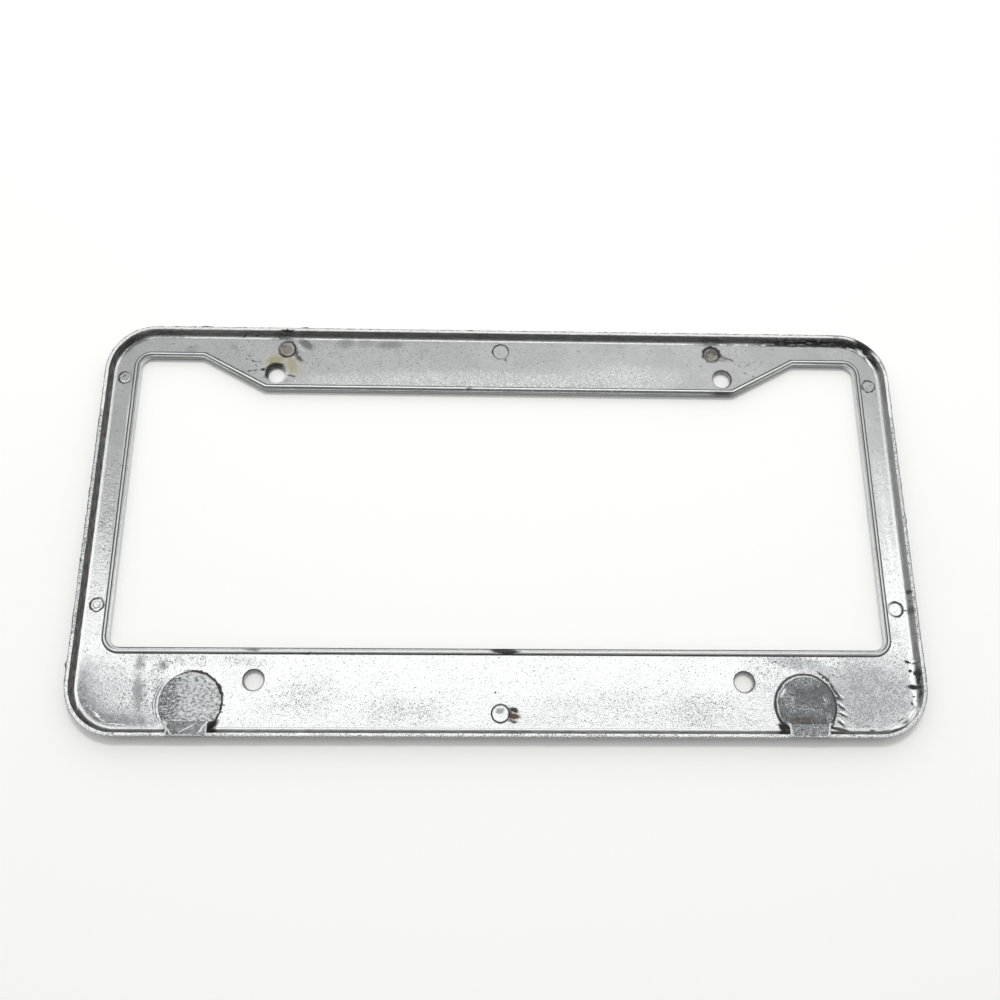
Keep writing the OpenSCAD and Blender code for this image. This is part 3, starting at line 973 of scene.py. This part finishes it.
def bead_layers(coat, s, colours, region):
    """Dirt and painted shade at the bead's foot, a painted highlight on its crest, and painted shade on its
    flank, the ledge and the edge.
    """
    w = s.w
    # Dirt and painted shade in the corner at the bead's foot
    foot_dirt_and_shade = w.product(s.band(s.window, *FOOT, 0.12, 0.2), w.ramp(s.middle, 0.35, 0.5, 0.9, 1))
    coat.lay(foot_dirt_and_shade, toned(colours.grime_and_shade, 0.7), rough=0.5, metal=0.1)
    # The crest is painted paler as a highlight where the edge runs level, a little darker along the sides
    level = w.ramp(w.math("ABSOLUTE", s.x), WINDOW_SIDE - 0.5, WINDOW_SIDE - 4.5)
    crest = w.mix(level, toned(colours.plate, 0.95), toned(colours.plate, 1.35))
    coat.lay(s.band(s.window, *CREST, 0.15), crest, rough=0.3)
    flank, ledge, edge = (w.blend(level, *pair) for pair in zip(SIDE_BEAD, BEADS[region]))
    # Painted shade on the flank, the ledge and the window's edge
    dirt = toned(colours.dull, 0.2)
    coat.lay(w.product(s.band(s.window, *LEDGE, 0.15), ledge), dirt, rough=0.4)
    coat.lay(w.product(s.band(s.window, *FLANK, 0.12, 0.2), flank), dirt, rough=0.4)
    coat.lay(w.product(s.band(s.window, *EDGE, 0.1, 0.3), edge), dirt, rough=0.4)
    # The window's walls below the panel are painted a little darker as shade
    walls = w.ramp(s.z, s.panel - 0.25, s.panel - 0.45, 0, 0.15)
    coat.lay(walls, toned(colours.dull, 0.9), rough=0.35)


def film_masks(s):
    """The smooth film in the lower corners: its thin part, its thick part and both."""
    w = s.w
    thin = s.marks("film")
    thick = w.product(s.marks("corner"), w.ramp(s.rim, 13, 4.5), w.ramp(s.rim, 3.4, 4.1))
    return thin, thick, w.most(thin, thick)


def film_layers(coat, s, colours, thin, thick, both):
    """The smooth film, with specks of plating that show through."""
    w = s.w
    coat.lay(w.product(thin, w.ramp(s.middle, 0.62, 0.4, 0.3, 1)), colours.film, rough=0.3)
    coat.lay(w.product(thick, w.ramp(s.middle, 0.62, 0.4, 0.75, 1)), colours.film, rough=0.3)
    specks = w.product(w.ramp(s.fine, 0.42, 0.37), w.ramp(both, 0.1, 0.4))
    coat.lay(w.product(specks, 0.45), colours.plate, rough=0.3)


def stain_layers(coat, s, colours):
    """Stains, dirt and painted shade, tar smeared along the rim and the bead, rubbed metal and painted
    highlights, and black chips.
    """
    w = s.w
    coat.lay(s.marks("smudge"), toned(colours.dull, 0.42), rough=0.42)
    coat.lay(s.marks("brown"), colours.brown, rough=0.5, metal=0.35)
    coat.lay(s.marks("rust"), colours.rust, rough=0.6, metal=0.2)
    coat.lay(s.marks("grime_and_shade"), colours.grime_and_shade, rough=0.6, metal=0.1)
    channel = w.most(s.band(s.rim, 1.7, 4.1, 0.2, 1.2), s.band(s.window, -1, BEAD_END, 0.1))
    smear = w.ramp(w.math("ADD", s.streaks, w.product(s.middle, 0.4)), 0.52, 0.66)
    smear = w.most(smear, w.ramp(s.window, BEAD_END + 0.3, BEAD_END))
    coat.lay(w.product(s.marks("tar"), channel, smear), colours.tar, rough=0.35, metal=0)
    coat.lay(s.marks("bright"), toned(colours.plate, 1.3), rough=0.25)
    coat.lay(s.marks("chip"), colours.tar, rough=0.5, metal=0)


# How strongly the pits show on bare plating and under the film
BARE_PITS = 0.8
FILM_PITS = 0.25


def rear_plating(groups, sizes, colours, region):
    """Thin plating over cast zinc, with pits, films, dirt, stains and tar, and painted shade and highlights.
    """
    material, w, shader = new_material("worn_plating_" + region)
    s = Surface(w, groups, sizes, region=REGIONS[region])
    pitted = BARE_PITS
    if region == "bottom_bar":
        film = film_masks(s)
        pitted = w.ramp(film[2], 0.15, 0.5, BARE_PITS, FILM_PITS)
    coat = worn_coat(s, colours, pitted)
    rim_layers(coat, s, colours, region)
    bead_layers(coat, s, colours, region)
    if region == "bottom_bar":
        film_layers(coat, s, colours, *film)
    stain_layers(coat, s, colours)
    relief = w.math("ADD", s.fine, s.middle)
    if region == "top_bar":
        # White specks painted as glints, and raised in the relief
        fleck_glints = w.product(s.marks("flecked"), w.ramp(s.fine, 0.54, 0.64))
        coat.lay(fleck_glints, (1, 1, 1), rough=0.45)
        relief = w.math("ADD", relief, w.product(fleck_glints, 0.8))
    coat.feed(shader, relief, 0.4, 0.16)
    return material


def pad_grain(s, colours, right, on_tab):
    """Sheared zinc with torn clouds on the left pad and bright grains, greyer on the right."""
    w = s.w
    base = w.mix(w.ramp(s.middle, 0.38, 0.62), colours.zinc, toned(colours.zinc, 1.5))
    coat = Finish(w, w.mix(on_tab, base, toned(colours.zinc, 1.4)), 0.42)
    torn = w.noise(w.vector("MULTIPLY", s.place, (0.7, 1.5, 1)), 0.95, 4, 0.7)
    torn = w.math("ADD", torn, w.ramp(s.x, -120, -111, -0.08, 0.06))
    left_pad = w.math("SUBTRACT", 1, w.most(right, w.product(on_tab, 0.7)))
    coat.lay(w.product(w.ramp(torn, 0.46, 0.58), left_pad), toned(colours.glint, 0.88), rough=0.4)
    coat.lay(w.product(w.ramp(torn, 0.44, 0.34), 0.5), toned(colours.zinc, 0.5), rough=0.5)
    lean = w.blend(on_tab, w.blend(right, 0.05, -0.025), w.blend(right, -0.01, 0.06))
    coat.lay(w.ramp(w.math("ADD", s.fine, lean), 0.6, 0.65), colours.glint, rough=0.3)
    coat.lay(w.product(w.ramp(s.middle, 0.6, 0.66), 0.6), toned(colours.zinc, 0.55), rough=0.5)
    return coat


def sheared_zinc(groups, sizes, colours):
    """Crystalline face where the gates were broken off, with painted glints along each tab's edges and
    painted shade along each chord.
    """
    material, w, shader = new_material("sheared_zinc")
    s = Surface(w, groups, sizes, 0.8, REGIONS["bottom_bar"])
    right = w.ramp(s.x, -1, 1)
    on_tab = w.ramp(s.z, s.panel + 1.5, s.panel + 2.1)
    off_tab = w.math("SUBTRACT", 1, on_tab)
    coat = pad_grain(s, colours, right, on_tab)
    across = w.math("ABSOLUTE", w.math("SUBTRACT", w.math("ABSOLUTE", s.x), sizes.gate_x / MM))
    edge = w.math("SUBTRACT", sizes.tab_w / 2 / MM, across)
    # Painted glints along the edges of each tab
    edge_glint = w.product(on_tab, w.most(s.band(edge, -0.2, 0.55, 0.2, 1.6), s.band(s.rim, -1, 0.7, 0.2, 1.6)))
    coat.lay(w.product(edge_glint, w.ramp(s.fine, 0.4, 0.5)), colours.glint, rough=0.3)
    strip = w.product(s.band(s.y, -74.4, -72.4, 0.4, 1.5), s.band(s.x, 104.5, 114, 2))
    coat.lay(w.product(strip, w.ramp(s.fine, 0.42, 0.55)), colours.rust, rough=0.6, metal=0.2)
    # Painted shade along the chord where a tab rises from its pad
    chord = w.product(s.band(s.y, -74.8, -74.3, 0.12, 0.4), w.blend(right, 0.5, 0.95))
    coat.lay(chord, colours.grime_and_shade, rough=0.6, metal=0.2)
    coat.lay(w.product(s.marks("film"), off_tab), colours.zinc, rough=0.42)
    coat.lay(w.product(s.marks("glint"), w.ramp(s.fine, 0.52, 0.58)), colours.glint, rough=0.3)
    coat.lay(s.marks("bright"), colours.glint, rough=0.25)
    coat.lay(w.product(s.marks("grime_and_shade"), off_tab), colours.grime_and_shade, rough=0.6, metal=0.1)
    coat.feed(shader, s.fine, 0.6, 0.3)
    return material


def front_plating(groups, sizes, colours):
    """Polished plating of the front face, painted darker and rougher up the outer edge."""
    material, w, shader = new_material("bright_plating")
    s = Surface(w, groups, sizes, 2)
    coat = Finish(w, colours.bright, w.ramp(s.wide, 0.3, 0.7, 0.1, 0.18))
    coat.lay(w.ramp(s.z, 0.3, 1.2), toned(colours.bright, 0.6), rough=0.35)
    coat.lay(w.product(w.ramp(s.fine, 0.62, 0.7), 0.3), toned(colours.bright, 0.6), rough=0.3)
    coat.feed(shader, s.fine, 0.06, 0.1)
    return material


class FRAME_OT_casting(bpy.types.Operator):
    """Builds the worn casting and gives it its finishes"""

    bl_idname = "plateframe.casting"
    bl_label = "Casting"

    def execute(self, context):
        scene = context.scene
        sizes, colours = scene.frame_sizes, scene.frame_colours
        groups = {
            "grain": grain_group(),
            "patch": patch_group(),
            "ring": ring_group(),
            "distance": distance_group(),
        }
        mesh = casting_mesh(sizes, scene.frame_wear)
        piece = bpy.data.objects.new("worn_frame", mesh)
        scene.collection.objects.link(piece)
        for region in REGIONS:
            mesh.materials.append(rear_plating(groups, sizes, colours, region))
        mesh.materials.append(sheared_zinc(groups, sizes, colours))
        mesh.materials.append(front_plating(groups, sizes, colours))
        mesh.set_sharp_from_angle(angle=math.radians(50))
        normals = piece.modifiers.new("even_normals", "WEIGHTED_NORMAL")
        normals.keep_sharp = True
        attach(piece, BODY)
        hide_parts(NODE)
        return {"FINISHED"}


# The photo's camera, solved from the bolt holes, the marks and the straight edges: its
# turns about X, Y and Z in radians, and in mm the holes' middle as the camera sees it and
# in the frame, and the sensor's width
CAMERA_TURN = (-0.31268, 0.02756, -0.00912)
CAMERA_OFF = (0.19947, -8.12389, -383.44521)
HOLES_MIDDLE = (0, 0.7, 2.7)
SENSOR = 36


def camera_matrix():
    """Place and turn of the camera in the frame's own space."""
    x, y, z = (Matrix.Rotation(a, 3, axis) for a, axis in zip(CAMERA_TURN, "XYZ"))
    turn = (z @ y @ x).transposed()
    place = turn @ -Vector(CAMERA_OFF) + Vector(HOLES_MIDDLE)
    return Matrix.Translation(place * MM) @ turn.to_4x4()


# How much stronger the room's light is beyond the frame than at its sides, and how
# steeply a direction rises where that light turns from the horizon's to the zenith's
BEYOND = 0.75
OVERHEAD = (0.62, 0.9)


def soft_room(look):
    """A room whose light is strongest round the horizon and beyond the frame, white to the camera."""
    world = bpy.data.worlds.new("soft_room")
    world.use_nodes = True
    w = Wiring(world.node_tree)
    way = w.node("ShaderNodeTexCoord").outputs["Generated"]
    at = w.node("ShaderNodeSeparateXYZ", {0: way}).outputs
    height = w.ramp(at["Z"], *OVERHEAD, look.horizon, look.zenith)
    side = w.math("ADD", 1, w.product(at["Y"], BEYOND))
    seen = w.node("ShaderNodeLightPath").outputs["Is Camera Ray"]
    strength = w.blend(seen, w.product(height, side), 1)
    w.feed(world.node_tree.nodes["Background"].inputs["Strength"], strength)
    w.feed(world.node_tree.nodes["Background"].inputs["Color"], (1, 1, 1))
    return world


# Lamps: name, setting with the power, size and place in metres, turn in degrees, and
# whether the metal reflects it. One that isn't reflected lights only matt surfaces.
LAMPS = [
    ("main_lamp", "lamp", (1.7, 0.36), (0, 0.105, 1), 4.2, True),
    ("far_lamp", "fill", (0.85, 0.25), (0.03, 0.46, 1), 4, True),
    ("floor_lamp", "wash", (0.34, 0.15), (0, 0.4, 1), 0, False),
]


def area_lamp(name, size, power, place, turn):
    """A soft rectangular lamp that hangs level and shines down, turned by some degrees."""
    light = bpy.data.lights.new(name, "AREA")
    light.shape = "RECTANGLE"
    light.size, light.size_y = size
    light.energy = power
    lamp = bpy.data.objects.new(name, light)
    lamp.location = place
    lamp.rotation_euler.z = math.radians(turn)
    bpy.context.scene.collection.objects.link(lamp)
    return lamp


# Half of the floor's side, and how far out it turns white to the camera, from and to,
# in metres
FLOOR_HALF = 3
FAR_FLOOR = (0.4, 1.3)


def floor_paint(colours, glow):
    """Pale floor that keeps shadows, glows a little where it is seen, and is white far out."""
    material = bpy.data.materials.new("pale_floor")
    material.use_nodes = True
    w = Wiring(material.node_tree)
    material.node_tree.nodes.remove(material.node_tree.nodes["Principled BSDF"])
    diffuse = w.node("ShaderNodeBsdfDiffuse", {"Color": colours.floor})
    ray = w.node("ShaderNodeLightPath").outputs
    shown = w.most(ray["Is Camera Ray"], ray["Is Glossy Ray"], ray["Is Transmission Ray"])
    reach = w.vector("LENGTH", w.node("ShaderNodeTexCoord").outputs["Object"])
    far = w.product(ray["Is Camera Ray"], w.ramp(reach, *FAR_FLOOR))
    strength = w.math("ADD", w.product(shown, glow), far)
    light = w.node("ShaderNodeEmission", {"Color": colours.floor, "Strength": strength})
    both = w.node("ShaderNodeAddShader", {0: diffuse.outputs[0], 1: light.outputs[0]})
    end = material.node_tree.nodes["Material Output"]
    w.feed(end.inputs["Surface"], both.outputs[0])
    return material


class FRAME_OT_stage(bpy.types.Operator):
    """Sets the floor, the lamps, the world and the camera"""

    bl_idname = "plateframe.stage"
    bl_label = "Stage"

    def execute(self, context):
        scene = context.scene
        look = scene.frame_stage
        bm = bmesh.new()
        bmesh.ops.create_grid(bm, x_segments=1, y_segments=1, size=FLOOR_HALF)
        mesh = bpy.data.meshes.new("floor")
        bm.to_mesh(mesh)
        bm.free()
        floor = bpy.data.objects.new("floor", mesh)
        scene.collection.objects.link(floor)
        mesh.materials.append(floor_paint(scene.frame_colours, look.glow))
        for name, setting, size, place, turn, reflected in LAMPS:
            lamp = area_lamp(name, size, getattr(look, setting), place, turn)
            lamp.visible_glossy = reflected
        scene.world = soft_room(look)
        scene.view_settings.view_transform = "Standard"
        camera = bpy.data.cameras.new("camera")
        camera.lens = look.lens
        camera.sensor_width = SENSOR
        view = bpy.data.objects.new("camera", camera)
        view.matrix_world = camera_matrix()
        scene.collection.objects.link(view)
        scene.camera = view
        return {"FINISHED"}


class FRAME_PT_panel(bpy.types.Panel):
    """Lists the steps and the sizes, wear, colours and lamps that they use."""

    bl_label = "Plate Frame"
    bl_idname = "FRAME_PT_panel"
    bl_space_type = "VIEW_3D"
    bl_region_type = "UI"
    bl_category = "Plate Frame"

    def draw(self, context):
        for step in STEPS:
            self.layout.operator(step.bl_idname)
        for group in GROUPS:
            box = self.layout.box()
            for name in GROUPS[group].__annotations__:
                box.prop(getattr(context.scene, group), name)


GROUPS = {
    "frame_sizes": FRAME_PG_sizes,
    "frame_wear": FRAME_PG_wear,
    "frame_colours": FRAME_PG_colours,
    "frame_stage": FRAME_PG_stage,
}
STEPS = (FRAME_OT_casting, FRAME_OT_stage)


def register():
    for kind in (*GROUPS.values(), *STEPS, FRAME_PT_panel):
        bpy.utils.register_class(kind)
    for name, kind in GROUPS.items():
        setattr(bpy.types.Scene, name, PointerProperty(type=kind))


def unregister():
    for name in GROUPS:
        delattr(bpy.types.Scene, name)
    for kind in (FRAME_PT_panel, *reversed(STEPS), *GROUPS.values()):
        bpy.utils.unregister_class(kind)


def main():
    """Builds the scene."""
    register()
    bpy.ops.plateframe.casting()
    bpy.ops.plateframe.stage()


if __name__ == "__main__":
    main()
